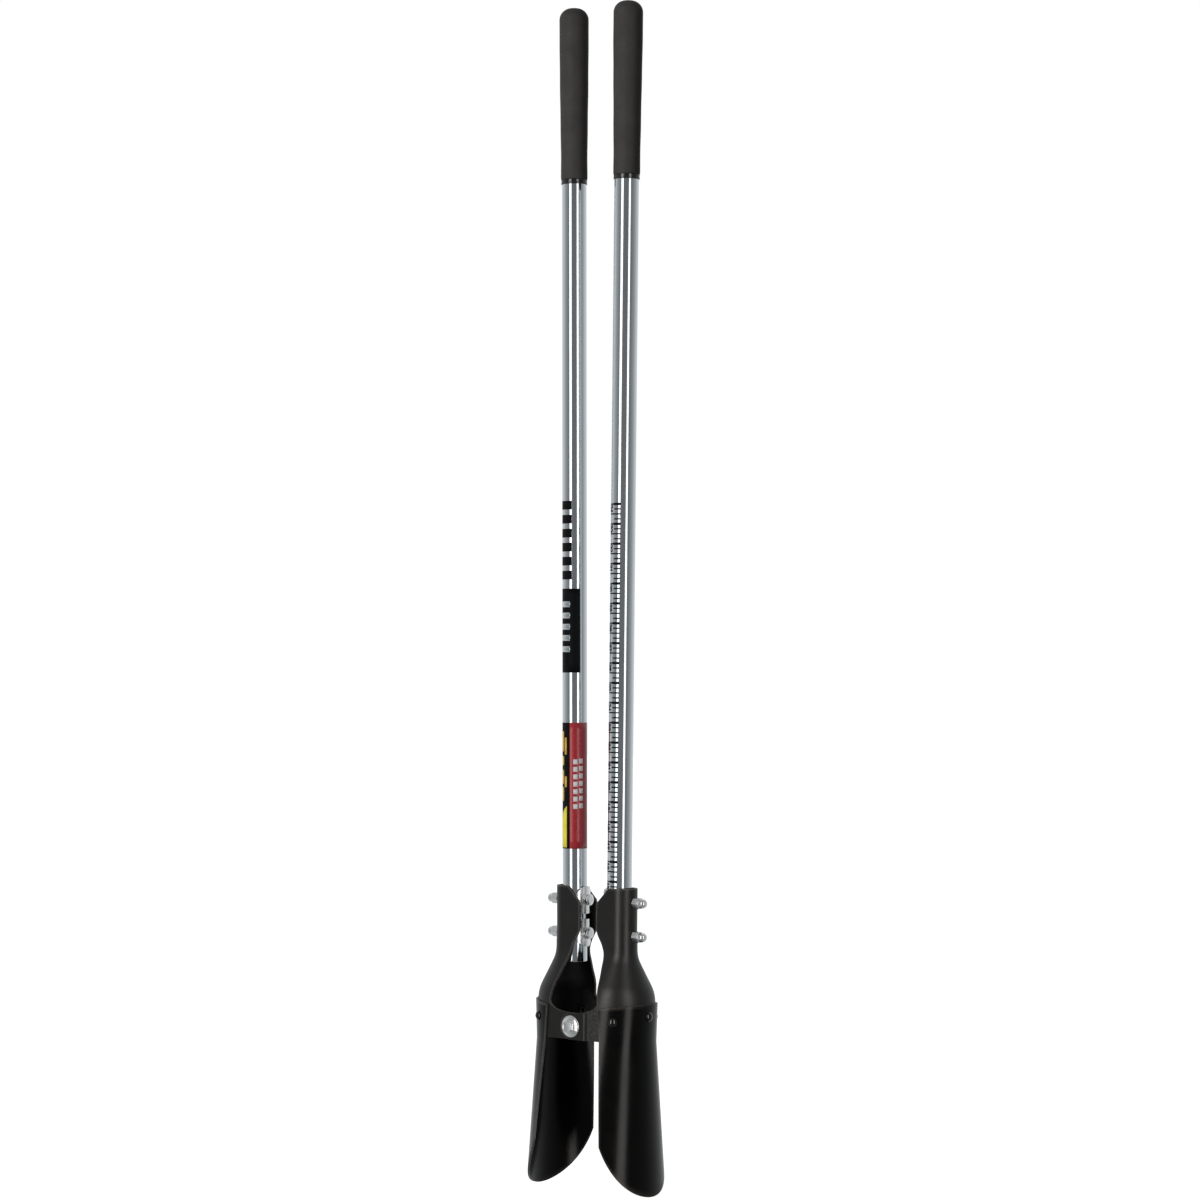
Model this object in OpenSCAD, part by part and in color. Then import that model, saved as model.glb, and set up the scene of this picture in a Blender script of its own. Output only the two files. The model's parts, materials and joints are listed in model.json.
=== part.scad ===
// Post hole digger: two pressed steel halves that pivot on two short bolts,
// each with a riveted blade and a long steel tube handle with a foam grip.
// Units are millimetres. The ground is z = 0, between the two blade tips.
// X is the way the halves open, Y is the pivot axis, and the halves are the
// same pressing turned half a turn about the Z axis.

/* [Whole tool] */
// Height of the pivot above the blade tips
pivot_z = 214; // [205:1:225]
// Thickness of the pressed frames
sheet = 3; // [2.5:0.1:3.2]
// Thickness of the blade plates
plate = 3; // [2.5:0.1:3.2]

/* [Handles] */
// Outside diameter of the handle tubes
tube_d = 31.75; // [31.5:0.01:31.8]
// Wall of the handle tubes
tube_wall = 1.6; // [1.2:0.1:2.5]
// Length of the handle tubes
tube_length = 1219; // [900:1:1300]
// Distance from the middle of the tool to a tube, at the pivot's height
tube_x = 35.2; // [35:0.1:35.5]
// Outward lean of the tubes in degrees
tube_lean = 0.41; // [0.2:0.01:0.6]
// Height of the lower end of the tubes above the pivot
tube_start = 77; // [70:1:80]

/* [Grips] */
// Length of the foam grips
grip_length = 223; // [150:1:250]
// Diameter of the grips near the top
grip_top_d = 38; // [36:0.5:44]
// Diameter of the grips at their lower end
grip_end_d = 34.6; // [34:0.1:38]
// Thickness of the foam over the end of the tube
grip_cap = 16; // [12:1:20]
// Height of the collar ring under a grip
collar_h = 6.4; // [4:0.2:10]
// Outside diameter of the collar ring
collar_d = 34; // [33:0.1:34.5]

/* [Sockets] */
// Height of the socket top above the pivot
socket_top = 175; // [170:1:180]
// Distance from a tube's axis to the centre of the socket's round back
socket_back = 5.4; // [4:0.1:6]
// Half of the inside width of a socket
socket_half = 16.1; // [16:0.05:16.3]
// Distance from the middle of the tool to the socket's open edges
socket_edge = 14; // [12:0.5:18]
// Height of the lower clamp bolt above the pivot
clamp_low = 114; // [112:1:118]
// Height of the upper clamp bolt above the pivot
clamp_high = 157; // [154:1:160]

/* [Clamps] */
// Diameter of the clamp bolts
clamp_d = 8; // [7:0.5:8]
// Thickness of the saddle plates
saddle_t = 2.2; // [1.8:0.1:2.5]
// Diameter of the round lobe of a saddle plate
saddle_lobe_d = 27; // [24:0.5:29]
// Width of the tail of a saddle plate
saddle_tail_w = 16.4; // [14:0.2:18]
// Length of a saddle plate
saddle_length = 35.5; // [30:0.5:36]
// Diameter of the round head of a clamp bolt
clamp_head_d = 15.5; // [13:0.5:16]
// Height of the round head of a clamp bolt
clamp_head_h = 8; // [6:0.5:9]
// Width across the flats of a clamp nut
clamp_nut_af = 14; // [13:0.5:15]
// Height of the hexagon of a clamp nut
clamp_nut_h = 10; // [8:0.5:10]
// Height of the dome on a clamp nut, above its hexagon
clamp_dome_h = 9; // [7:0.5:9]
// Diameter of the dome on a clamp nut
clamp_dome_d = 12.4; // [11.5:0.1:12.8]

/* [Blades] */
// Outside radius of a blade at its top
blade_r = 51.4; // [50:0.1:53]
// Distance from the middle of the tool to the axis of the blade's top
blade_axis_x = 34.3; // [33:0.1:36]
// Height of that point above the pivot
blade_axis_z = 26; // [24:1:28]
// Outward lean of the blade's axis in degrees
blade_lean = 5.71; // [5:0.01:6.5]
// Growth of the blade's radius per millimetre beside the frame
flare_top = 0.05; // [0.03:0.005:0.07]
// Growth of the blade's radius per millimetre below the frame
flare_low = 0.144; // [0.12:0.002:0.15]

/* [Pivot] */
// Half of the height of a pivot ear
ear_half = 17; // [15:0.5:18]
// Distance from the pivot axis to the step in the outer ear
ear_step = 21; // [20:0.5:23]
// Gap between the two ears
ear_gap = 0.4; // [0.35:0.05:0.6]
// Diameter of the pivot bolts
pivot_d = 9.5; // [8:0.1:10]
// Radial clearance of a pivot bolt in the turning ear
pivot_clearance = 0.05; // [0.03:0.01:0.08]
// Diameter of the dished washers under the pivot bolt heads
washer_d = 28; // [24:0.5:30]
// Width across the flats of the pivot bolt heads and nuts
pivot_af = 14.3; // [13:0.1:16]

/* [Rivets] */
// Diameter of the rivet shanks
rivet_d = 6; // [5:0.5:7]
// Diameter of the domed rivet heads
rivet_head_d = 13; // [11:0.5:14]
// Angle of the two side rivets around the blade, from its middle
rivet_angle = 58; // [50:1:62]

/* [Hidden] */

$fn = 96;
small_fn = 48;
arc_steps = 8;
far = 400;
clamp_heights = [clamp_low, clamp_high];

tube_r = tube_d / 2;
tube_end = tube_start + tube_length;
grip_top = tube_end + grip_cap;
grip_start = grip_top - grip_length;
socket_r = socket_half + sheet;
socket_outer_x = socket_back + socket_r;

// The neck and shoulder of a frame, around the blade's leaning axis
frame_r = blade_r - plate;
neck_h = 73.5;
neck_step = 0.6;
neck_r = socket_r + neck_step;
neck_fillet = 35;
shoulder_fillet = 50;
shoulder_angle = 31;
skirt_low = -43;
skirt_end = -52;
wall_reach = 24;
socket_low = 80;
socket_reach = 40;

// The free edge of a frame, seen from the side, from the socket down
chamfer_x = 33.5;
chamfer_z = socket_top - 19;
edge_low_z = 119;
throat = [
    [22.7, 104], [27, 94], [28.5, 83], [30.5, 75],
    [33, 64], [35, 51], [37.5, 36], [38.7, 28]
];

// The ears lie beside each other, either side of the same gap
ear_outset = 1.4;
ear_inner_y = frame_r - sheet + ear_outset;
ear_outer_y = ear_inner_y + sheet + ear_gap;
step_run = 5;
ear_root_x = 40;
ear_stock = 30;
ear_neck_x = 14;
ear_neck_low = [28.7, 20.6];
ear_neck_high = [38.7, 28];

// The outline of a blade, seen from the side
blade_top_low = [41.1, 25.2];
blade_top_high = [110, 32];
blade_corner = [53, -148];
blade_stock_top = 20;
blade_stock_low = -240;
cut_radius = 215;
cut_steps = 12;

rivet_side_z = 8.6;
rivet_middle_z = 13.6;
rivet_dome_h = 3.6;
rivet_seat = 0.25;
rivet_tail_h = 1.25;
rivet_tail_gap = 0.35;

grip_round = 15;
grip_taper_low = 20;
grip_taper_high = 170;

clamp_cap = 2.5;
clamp_hole_gap = 0.5;

washer_gap = 0.3;
washer_t = 2.6;
head_h = 5.6;
pivot_nut_h = 8;
pivot_tail = 2.5;

black_steel = [0.09, 0.09, 0.09];
zinc_tube = [0.66, 0.69, 0.71];
bright_zinc = [0.8, 0.81, 0.8];
foam = [0.17, 0.17, 0.18];
collar_black = [0.04, 0.04, 0.04];

// Points of an arc about a centre, from one angle to another
function arc(centre, r, from, to, steps = arc_steps) =
    [for (i = [0 : steps]) let (a = from + (to - from) * i / steps)
        centre + r * [cos(a), sin(a)]];

// Corner between the neck and the slope of the shoulder, then between
// the slope and the skirt: points [radius, height] of the outer face
slope_rise = tan(90 - shoulder_angle);
neck_corner_h = neck_h - neck_fillet * tan(shoulder_angle / 2);
skirt_angle = atan(flare_top);
skirt_corner_h = (neck_corner_h * tan(shoulder_angle) + neck_r - frame_r)
    / (tan(shoulder_angle) - flare_top);
skirt_corner_r = frame_r - flare_top * skirt_corner_h;
turn = shoulder_angle - skirt_angle;
skirt_tangent = shoulder_fillet * tan(turn / 2);
shoulder_end = [
    skirt_corner_r + skirt_tangent * sin(skirt_angle),
    skirt_corner_h - skirt_tangent * cos(skirt_angle)
];
shoulder_centre = shoulder_end
    - shoulder_fillet * [cos(skirt_angle), sin(skirt_angle)];

// Outer face of the frame below the socket, moved inwards by "inset"
function frame_line(inset) = concat(
    arc([neck_r + neck_fillet, neck_h], neck_fillet + inset,
        180, 180 + shoulder_angle),
    arc(shoulder_centre, shoulder_fillet - inset,
        shoulder_angle, skirt_angle),
    [[frame_r - flare_top * skirt_end - inset, skirt_end]]
);

function reversed(list) = [for (i = [len(list) - 1 : -1 : 0]) list[i]];

// Outer radius of a blade at a height on its axis: it flares gently beside
// the frame, then more below it
function blade_radius(h) = h > skirt_low
    ? blade_r - flare_top * h
    : blade_r - flare_top * skirt_low + flare_low * (skirt_low - h);

function blade_line(inset) =
    [for (h = [blade_stock_top, skirt_low, blade_stock_low])
        [blade_radius(h) - inset, h]];

// The tip is where the outside of the flare meets the ground
flare_start_r = blade_radius(skirt_low) + flare_low * skirt_low;
tip_h = (flare_start_r * sin(blade_lean) - blade_axis_z - pivot_z)
    / (cos(blade_lean) + flare_low * sin(blade_lean));
blade_tip_x = blade_axis_x + blade_radius(tip_h) * cos(blade_lean)
    + tip_h * sin(blade_lean);

// Places
module other_side() {
    rotate([0, 0, 180]) children();
}

module on_tube() {
    translate([tube_x, 0, pivot_z]) rotate([0, tube_lean, 0]) children();
}

module on_blade_axis() {
    translate([blade_axis_x, 0, pivot_z + blade_axis_z])
        rotate([0, blade_lean, 0]) children();
}

// A flat outline [x, z above the pivot] made into a slab along Y
module side_view(points, depth = far) {
    translate([0, depth / 2, pivot_z]) rotate([90, 0, 0])
        linear_extrude(depth) polygon(points);
}

// Revolves an outline [radius, height] about the blade axis, outer half only
module revolved_half(points) {
    intersection() {
        rotate_extrude() polygon(points);
        translate([0, -far / 2, -far / 2]) cube([far, far, far]);
    }
}

// The same outline as a straight wall either side, towards the middle
module straight_walls(points, length) {
    for (side = [-1, 1])
        translate([-length, 0, 0]) rotate([90, 0, 90])
            linear_extrude(length)
                polygon([for (p = points) [side * p[0], p[1]]]);
}

// Frame: socket, neck, shoulder, skirt and the two ears
module frame_shell() {
    wall = concat(frame_line(0), reversed(frame_line(sheet)));
    on_blade_axis() {
        revolved_half(wall);
        straight_walls(wall, wall_reach);
    }
}

module socket_section() {
    difference() {
        union() {
            circle(socket_r);
            translate([-socket_reach, -socket_r])
                square([socket_reach, 2 * socket_r]);
        }
        circle(socket_half);
        translate([-socket_reach - 1, -socket_half])
            square([socket_reach + 1, 2 * socket_half]);
    }
}

// Socket: a U channel that stands on the top of the neck
module socket() {
    difference() {
        on_tube() translate([socket_back, 0, socket_low])
            linear_extrude(socket_top - socket_low) socket_section();
        on_blade_axis() translate([-far / 2, -far / 2, neck_h - far])
            cube([far, far, far]);
    }
}

// The free edges of a frame, from the socket's top to the skirt's bottom
module frame_outline() {
    side_view(concat(
        [
            [far, far], [chamfer_x, far], [chamfer_x, socket_top],
            [socket_edge + 1, chamfer_z], [socket_edge, chamfer_z - 3],
            [socket_edge, edge_low_z]
        ],
        throat,
        [[ear_root_x - 4, ear_half], [ear_root_x - 4, -ear_half],
            [far, -ear_half]]
    ));
}

// Outline of an ear, seen from the side
module ear_outline() {
    circle(ear_half);
    translate([0, -ear_half]) square([ear_root_x, 2 * ear_half]);
    polygon([
        [ear_neck_x, ear_half], ear_neck_low, ear_neck_high,
        [ear_root_x, ear_neck_high[1]], [ear_root_x, 0], [ear_neck_x, 0]
    ]);
}

module ear_slab() {
    translate([0, far / 2, pivot_z]) rotate([90, 0, 0])
        linear_extrude(far) ear_outline();
}

// The plain ear, on the +Y side
module plain_ear() {
    intersection() {
        ear_slab();
        translate([-ear_stock, ear_inner_y, 0])
            cube([ear_stock + ear_root_x, sheet, far]);
    }
}

// The outer ear, on the -Y side, stepped over the other half's plain ear
module outer_ear() {
    bend = ear_step + step_run;
    intersection() {
        ear_slab();
        mirror([0, 1, 0]) linear_extrude(far) polygon([
            [ear_root_x, ear_inner_y], [bend, ear_inner_y],
            [ear_step, ear_outer_y], [-ear_stock, ear_outer_y],
            [-ear_stock, ear_outer_y + sheet],
            [ear_step + 1, ear_outer_y + sheet],
            [bend + 1, ear_inner_y + sheet],
            [ear_root_x, ear_inner_y + sheet]
        ]);
    }
}

// Holes for the clamp bolts, along a tube's X
module clamp_holes(length) {
    on_tube() for (h = clamp_heights)
        translate([0, 0, h]) rotate([0, 90, 0])
            cylinder(h = length, d = clamp_d + clamp_hole_gap, center = true,
                $fn = small_fn);
}

// The three rivet places around a blade
module at_rivets() {
    for (side = [-1, 0, 1]) {
        a = side * rivet_angle;
        z = side == 0 ? rivet_middle_z : rivet_side_z;
        h = z - blade_axis_z;
        translate([blade_axis_x + h * tan(blade_lean), 0, pivot_z + z])
            rotate([0, 0, a]) translate([blade_radius(h), 0, 0])
                rotate([0, 90, 0]) children();
    }
}

module rivet_holes() {
    at_rivets() cylinder(h = 24, d = rivet_d, center = true, $fn = small_fn);
}

module pivot_hole(side, clearance) {
    y = side * (ear_inner_y + sheet);
    translate([0, y, pivot_z]) rotate([90, 0, 0])
        cylinder(h = 20, d = pivot_d + 2 * clearance, center = true,
            $fn = small_fn);
}

module frame(clearance) {
    color(black_steel) difference() {
        union() {
            intersection() {
                union() {
                    frame_shell();
                    socket();
                }
                frame_outline();
            }
            plain_ear();
            outer_ear();
        }
        clamp_holes(160);
        rivet_holes();
        pivot_hole(-1, clearance);
        pivot_hole(1, clearance);
    }
}

// Blade: a flared plate with a slanting cut to the tip
module blade() {
    tip = [blade_tip_x, -pivot_z];
    chord = tip - blade_corner;
    half = norm(chord) / 2;
    sag = sqrt(cut_radius * cut_radius - half * half);
    across = [-chord[1], chord[0]] / norm(chord);
    centre = (tip + blade_corner) / 2 + sag * across;
    from = atan2(blade_corner[1] - centre[1], blade_corner[0] - centre[0]);
    to = atan2(tip[1] - centre[1], tip[0] - centre[0]);
    wall = concat(blade_line(0), reversed(blade_line(plate)));
    color(black_steel) difference() {
        intersection() {
            on_blade_axis() rotate_extrude() polygon(wall);
            side_view(concat(
                [blade_top_high, blade_top_low],
                arc(centre, cut_radius, from, to, cut_steps),
                [[blade_top_high[0], -pivot_z]]
            ));
        }
        rivet_holes();
    }
}

// Rivets: a domed head outside and a flat one inside
module rivets() {
    head_r = rivet_head_d / 2;
    shank_r = rivet_d / 2;
    tail_r = head_r - 2.4;
    dome = rivet_dome_h;
    ball = (head_r * head_r + dome * dome) / (2 * dome);
    lift = asin(head_r / ball);
    tail_top = -plate - sheet - rivet_tail_gap;
    tail_end = tail_top - rivet_tail_h;
    color(black_steel) at_rivets() rotate_extrude($fn = small_fn) polygon(
        concat(
            [[0, tail_end], [tail_r, tail_end], [tail_r, tail_top],
                [shank_r, tail_top], [shank_r, rivet_seat],
                [head_r, rivet_seat]],
            arc([0, dome + rivet_seat - ball], ball, 90 - lift, 90)
        )
    );
}

module tube() {
    color(zinc_tube) difference() {
        on_tube() translate([0, 0, tube_start]) difference() {
            cylinder(h = tube_length, r = tube_r);
            translate([0, 0, -1])
                cylinder(h = tube_length + 2, r = tube_r - tube_wall);
        }
        clamp_holes(60);
    }
}

module grip() {
    top_r = grip_top_d / 2;
    end_r = grip_end_d / 2;
    length = grip_length;
    color(foam) on_tube() translate([0, 0, grip_start]) rotate_extrude()
        polygon(concat(
            [[tube_r, 0], [end_r - 0.8, 0], [end_r, 0.8],
                [end_r, grip_taper_low], [top_r, grip_taper_high]],
            arc([top_r - grip_round, length - grip_round], grip_round,
                0, 90),
            [[0, length], [0, length - grip_cap], [tube_r, length - grip_cap]]
        ));
}

module collar() {
    color(collar_black) on_tube() translate([0, 0, grip_start - collar_h])
        rotate_extrude() polygon([
            [tube_r, 0], [collar_d / 2 - 0.5, 0], [collar_d / 2, 0.5],
            [collar_d / 2, collar_h - 0.5], [collar_d / 2 - 0.5, collar_h],
            [tube_r, collar_h]
        ]);
}

// Saddle plate: bent round the tube, its tail towards the other saddle
module saddle(which) {
    lobe = saddle_lobe_d / 2;
    lobe_z = 4;
    tail_z = lobe_z + lobe - saddle_length;
    up = which == 0 ? -1 : 1;
    color(bright_zinc) difference() {
        on_tube() translate([0, 0, clamp_heights[which]]) intersection() {
            difference() {
                cylinder(h = 80, r = tube_r + saddle_t, center = true);
                cylinder(h = 81, r = tube_r, center = true);
            }
            rotate([0, -90, 0]) linear_extrude(40) {
                translate([up * lobe_z, 0]) circle(lobe, $fn = small_fn);
                translate([up * (tail_z + lobe_z) / 2, 0])
                    square([lobe_z - tail_z, saddle_tail_w],
                        center = true);
            }
        }
        clamp_holes(60);
    }
}

// Clamp bolt: a tall round head inside, its tip within the domed nut
module clamp_bolt(which) {
    shank = clamp_d / 2;
    head = clamp_head_d / 2;
    head_x = -tube_r - saddle_t;
    tip_x = socket_outer_x + clamp_nut_h + clamp_dome_h - clamp_cap;
    color(bright_zinc) on_tube() translate([0, 0, clamp_heights[which]])
        rotate([0, 90, 0]) rotate_extrude($fn = small_fn) polygon([
            [0, head_x - clamp_head_h], [head - 1, head_x - clamp_head_h],
            [head, head_x - clamp_head_h + 1], [head, head_x - 4],
            [head - 1, head_x - 3], [head - 2.2, head_x - 3],
            [head - 2.2, head_x], [shank, head_x],
            [shank, tip_x - 1.5], [shank - 1.5, tip_x], [0, tip_x]
        ]);
}

// Clamp nut: a hexagon with a closed dome over the bolt's tip
module clamp_nut(which) {
    dome_r = clamp_dome_d / 2;
    top = clamp_nut_h + clamp_dome_h;
    round_r = dome_r - 0.5;
    color(bright_zinc) on_tube()
        translate([socket_outer_x, 0, clamp_heights[which]])
            rotate([0, 90, 0]) difference() {
                union() {
                    cylinder(h = clamp_nut_h, d = clamp_nut_af / cos(30),
                        $fn = 6);
                    rotate_extrude($fn = small_fn) polygon(concat(
                        [[0, 0], [dome_r, 0]],
                        arc([dome_r - round_r, top - round_r], round_r,
                            0, 90),
                        [[0, top]]
                    ));
                }
                translate([0, 0, -1])
                    cylinder(h = top + 1 - clamp_cap, d = clamp_d,
                        $fn = small_fn);
            }
}

// Pivot parts, on the -Y side
module on_pivot() {
    translate([0, 0, pivot_z]) rotate([90, 0, 0]) children();
}

module pivot_washer() {
    inner = pivot_d / 2;
    outer = washer_d / 2;
    base = ear_outer_y + sheet + washer_gap;
    color(bright_zinc) on_pivot() translate([0, 0, base])
        rotate_extrude() polygon([
            [inner, 0], [outer, 0], [outer, 1], [outer - 1.2, 1.6],
            [inner + 5, washer_t], [inner, washer_t]
        ]);
}

module pivot_bolt() {
    base = ear_outer_y + sheet + washer_gap + washer_t;
    tail = ear_inner_y - washer_gap - pivot_nut_h - pivot_tail;
    color(bright_zinc) on_pivot() {
        translate([0, 0, tail])
            cylinder(h = base - tail + 1, d = pivot_d, $fn = small_fn);
        translate([0, 0, base]) intersection() {
            cylinder(h = head_h, d = pivot_af / cos(30), $fn = 6);
            rotate_extrude($fn = small_fn) polygon([
                [0, 0], [pivot_af / 2 + 2, 0], [pivot_af / 2 + 2, head_h - 2],
                [pivot_af / 2 - 0.4, head_h], [0, head_h]
            ]);
        }
    }
}

module pivot_nut() {
    color(bright_zinc) on_pivot()
        translate([0, 0, ear_inner_y - washer_gap - pivot_nut_h])
            difference() {
                cylinder(h = pivot_nut_h, d = pivot_af / cos(30), $fn = 6);
                translate([0, 0, -1])
                    cylinder(h = pivot_nut_h + 2, d = pivot_d,
                        $fn = small_fn);
            }
}

module left_blade() other_side() blade();
module right_blade() blade();
module left_frame() other_side() frame(0);
module right_frame() frame(pivot_clearance);
module left_rivets() other_side() rivets();
module right_rivets() rivets();
module left_tube() other_side() tube();
module right_tube() tube();
module left_grip() other_side() grip();
module right_grip() grip();
module left_collar() other_side() collar();
module right_collar() collar();
module left_upper_saddle() other_side() saddle(1);
module left_lower_saddle() other_side() saddle(0);
module right_upper_saddle() saddle(1);
module right_lower_saddle() saddle(0);
module left_upper_bolt() other_side() clamp_bolt(1);
module left_lower_bolt() other_side() clamp_bolt(0);
module right_upper_bolt() clamp_bolt(1);
module right_lower_bolt() clamp_bolt(0);
module left_upper_nut() other_side() clamp_nut(1);
module left_lower_nut() other_side() clamp_nut(0);
module right_upper_nut() clamp_nut(1);
module right_lower_nut() clamp_nut(0);
module front_pivot_bolt() pivot_bolt();
module rear_pivot_bolt() other_side() pivot_bolt();
module front_pivot_washer() pivot_washer();
module rear_pivot_washer() other_side() pivot_washer();
module front_pivot_nut() pivot_nut();
module rear_pivot_nut() other_side() pivot_nut();

left_blade();
right_blade();
left_frame();
right_frame();
left_rivets();
right_rivets();
left_tube();
right_tube();
left_grip();
right_grip();
left_collar();
right_collar();
left_upper_saddle();
left_lower_saddle();
right_upper_saddle();
right_lower_saddle();
left_upper_bolt();
left_lower_bolt();
right_upper_bolt();
right_lower_bolt();
left_upper_nut();
left_lower_nut();
right_upper_nut();
right_lower_nut();
front_pivot_bolt();
rear_pivot_bolt();
front_pivot_washer();
rear_pivot_washer();
front_pivot_nut();
rear_pivot_nut();
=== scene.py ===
"""Post hole digger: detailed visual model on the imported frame, in metres."""

import json
import math

import bmesh
import bpy
from mathutils import Matrix, Vector

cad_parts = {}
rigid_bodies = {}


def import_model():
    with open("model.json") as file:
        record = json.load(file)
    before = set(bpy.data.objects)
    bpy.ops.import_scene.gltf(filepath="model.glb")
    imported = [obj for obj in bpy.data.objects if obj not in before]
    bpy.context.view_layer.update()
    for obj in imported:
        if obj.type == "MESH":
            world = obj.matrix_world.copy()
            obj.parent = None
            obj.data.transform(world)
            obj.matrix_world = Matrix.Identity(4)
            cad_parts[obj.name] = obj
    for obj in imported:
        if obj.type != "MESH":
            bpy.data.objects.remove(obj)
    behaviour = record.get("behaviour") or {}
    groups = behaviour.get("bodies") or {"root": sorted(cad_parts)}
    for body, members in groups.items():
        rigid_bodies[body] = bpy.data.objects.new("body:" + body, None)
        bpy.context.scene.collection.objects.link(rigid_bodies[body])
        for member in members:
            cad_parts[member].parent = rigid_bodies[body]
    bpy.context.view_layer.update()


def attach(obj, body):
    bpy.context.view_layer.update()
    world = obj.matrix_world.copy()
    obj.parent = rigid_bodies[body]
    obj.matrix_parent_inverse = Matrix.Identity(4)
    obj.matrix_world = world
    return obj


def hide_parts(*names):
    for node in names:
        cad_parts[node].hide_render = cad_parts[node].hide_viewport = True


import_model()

MM = 0.001

# Named dimensions in millimetres, the same as the part's source
PIVOT_Z = 214.0
SHEET = 3.0
TUBE_R = 15.875
TUBE_WALL = 1.6
TUBE_X = 35.2
TUBE_LEAN = math.radians(0.41)
TUBE_START = 77.0
TUBE_END = 1296.0
GRIP_TOP = 1312.0
GRIP_LENGTH = 223.0
GRIP_START = GRIP_TOP - GRIP_LENGTH
GRIP_CAP = 16.0
GRIP_TOP_R = 19.0
GRIP_END_R = 17.3
GRIP_ROUND = 15.0
COLLAR_H = 6.4
COLLAR_R = 17.0
SOCKET_TOP = 175.0
SOCKET_BACK = 5.4
SOCKET_R = 19.1
SOCKET_OUTER_X = SOCKET_BACK + SOCKET_R
CLAMP_HEIGHTS = (114.0, 157.0)
BLADE_R = 51.4
BLADE_AXIS = (34.3, 26.0)
BLADE_LEAN = math.radians(5.71)
FLARE_TOP = 0.05
FLARE_LOW = 0.144
FLARE_H = -43.0
EAR_R = 17.0
EAR_Y = 49.8
EAR_STEP = 3.4
EAR_STEP_X = (21.0, 26.0)
PIVOT_R = 4.75
PIVOT_CLEARANCE = 0.05

SIDES = {"right": 0.0, "left": math.pi}


# ---- places
def half(side):
    """Turns the right half's places into the named half's."""
    return Matrix.Rotation(SIDES[side], 4, "Z")


def on_tube(side, height=0.0):
    """Frame on the tube's axis, with its origin at a height above the pivot."""
    place = half(side) @ Matrix.Translation((TUBE_X * MM, 0, PIVOT_Z * MM))
    return place @ Matrix.Rotation(TUBE_LEAN, 4, "Y") @ Matrix.Translation((0, 0, height * MM))


def smooth(a, b, x):
    """0 below a, 1 above b, and an even curve between them."""
    t = min(1.0, max(0.0, (x - a) / (b - a)))
    return t * t * (3 - 2 * t)


def mix(a, b, t):
    """Value at the share t between a and b."""
    return a + (b - a) * t


def sample(points, t):
    """Point at the share t of a line's length."""
    steps = [math.dist(p, q) for p, q in zip(points, points[1:])]
    left = t * sum(steps)
    for p, q, step in zip(points, points[1:], steps):
        if left <= step:
            return tuple(mix(a, b, left / step) for a, b in zip(p, q))
        left -= step
    return points[-1]


def arc(centre, r, start, end, steps):
    """Points of an arc, angles in degrees."""
    turn = [math.radians(mix(start, end, i / steps)) for i in range(steps + 1)]
    return [(centre[0] + r * math.cos(a), centre[1] + r * math.sin(a)) for a in turn]


# ---- meshes
def new_object(name, verts, faces, place):
    """Links an object made from points in millimetres."""
    mesh = bpy.data.meshes.new(name)
    mesh.from_pydata([place @ (Vector(v) * MM) for v in verts], [], faces)
    obj = bpy.data.objects.new(name, mesh)
    bpy.context.scene.collection.objects.link(obj)
    return obj


def clean(mesh):
    """Joins points that lie together and turns the faces outwards."""
    bm = bmesh.new()
    bm.from_mesh(mesh)
    bmesh.ops.remove_doubles(bm, verts=bm.verts, dist=1e-6)
    bmesh.ops.recalc_face_normals(bm, faces=bm.faces)
    bm.to_mesh(mesh)
    bm.free()


def make_object(name, verts, faces, body, material, place):
    """Makes a smooth shaded piece from points in millimetres."""
    obj = new_object(name, verts, faces, place)
    obj.data.validate()
    clean(obj.data)
    obj.data.materials.append(material)
    obj.data.shade_smooth()
    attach(obj, body)
    return obj


def join(parts):
    """Joins pairs of points and faces into one pair."""
    verts, faces = [], []
    for points, quads in parts:
        shift = len(verts)
        verts += points
        faces += [tuple(i + shift for i in q) for q in quads]
    return verts, faces


def grid_faces(rows, columns, wrap=False):
    """Quads of a grid of points, closed across the columns if wrap."""
    faces = []
    for i in range(rows - 1):
        for j in range(columns if wrap else columns - 1):
            k = (j + 1) % columns
            a, b = i * columns, (i + 1) * columns
            faces.append((a + j, a + k, b + k, b + j))
    return faces


def lathe(profile, segments=96, closed=False, radius=None):
    """Turns a profile of (radius, height) points about local Z."""
    verts = []
    line = list(profile) + ([profile[0]] if closed else [])
    for r, h in line:
        for j in range(segments):
            a = 2 * math.pi * j / segments
            rr = radius(r, h, a) if radius else r
            verts.append((rr * math.cos(a), rr * math.sin(a), h))
    return verts, grid_faces(len(line), segments, wrap=True)


def rounded(profile, radius, steps=4):
    """Rounds each inner corner of a profile of (radius, height) points."""
    out = [profile[0]]
    for before, corner, after in zip(profile, profile[1:], profile[2:]):
        b, c, a = Vector(before), Vector(corner), Vector(after)
        trim = min(radius, (b - c).length * 0.45, (a - c).length * 0.45)
        if trim < 1e-4:
            out.append(corner)
            continue
        start = c + (b - c).normalized() * trim
        end = c + (a - c).normalized() * trim
        for i in range(steps + 1):
            t = i / steps
            p = start.lerp(c, t).lerp(c.lerp(end, t), t)
            out.append((p.x, p.y))
    out.append(profile[-1])
    return out


def modify(obj, kind, **values):
    """Adds a modifier and sets its values."""
    modifier = obj.modifiers.new(kind.lower(), kind)
    for key, value in values.items():
        setattr(modifier, key, value)


def bake(obj):
    """Applies a piece's modifiers to its mesh."""
    bpy.context.view_layer.update()
    shaped = obj.evaluated_get(bpy.context.evaluated_depsgraph_get())
    mesh = bpy.data.meshes.new_from_object(shaped)
    obj.modifiers.clear()
    old = obj.data
    obj.data = mesh
    bpy.data.meshes.remove(old)


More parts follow.
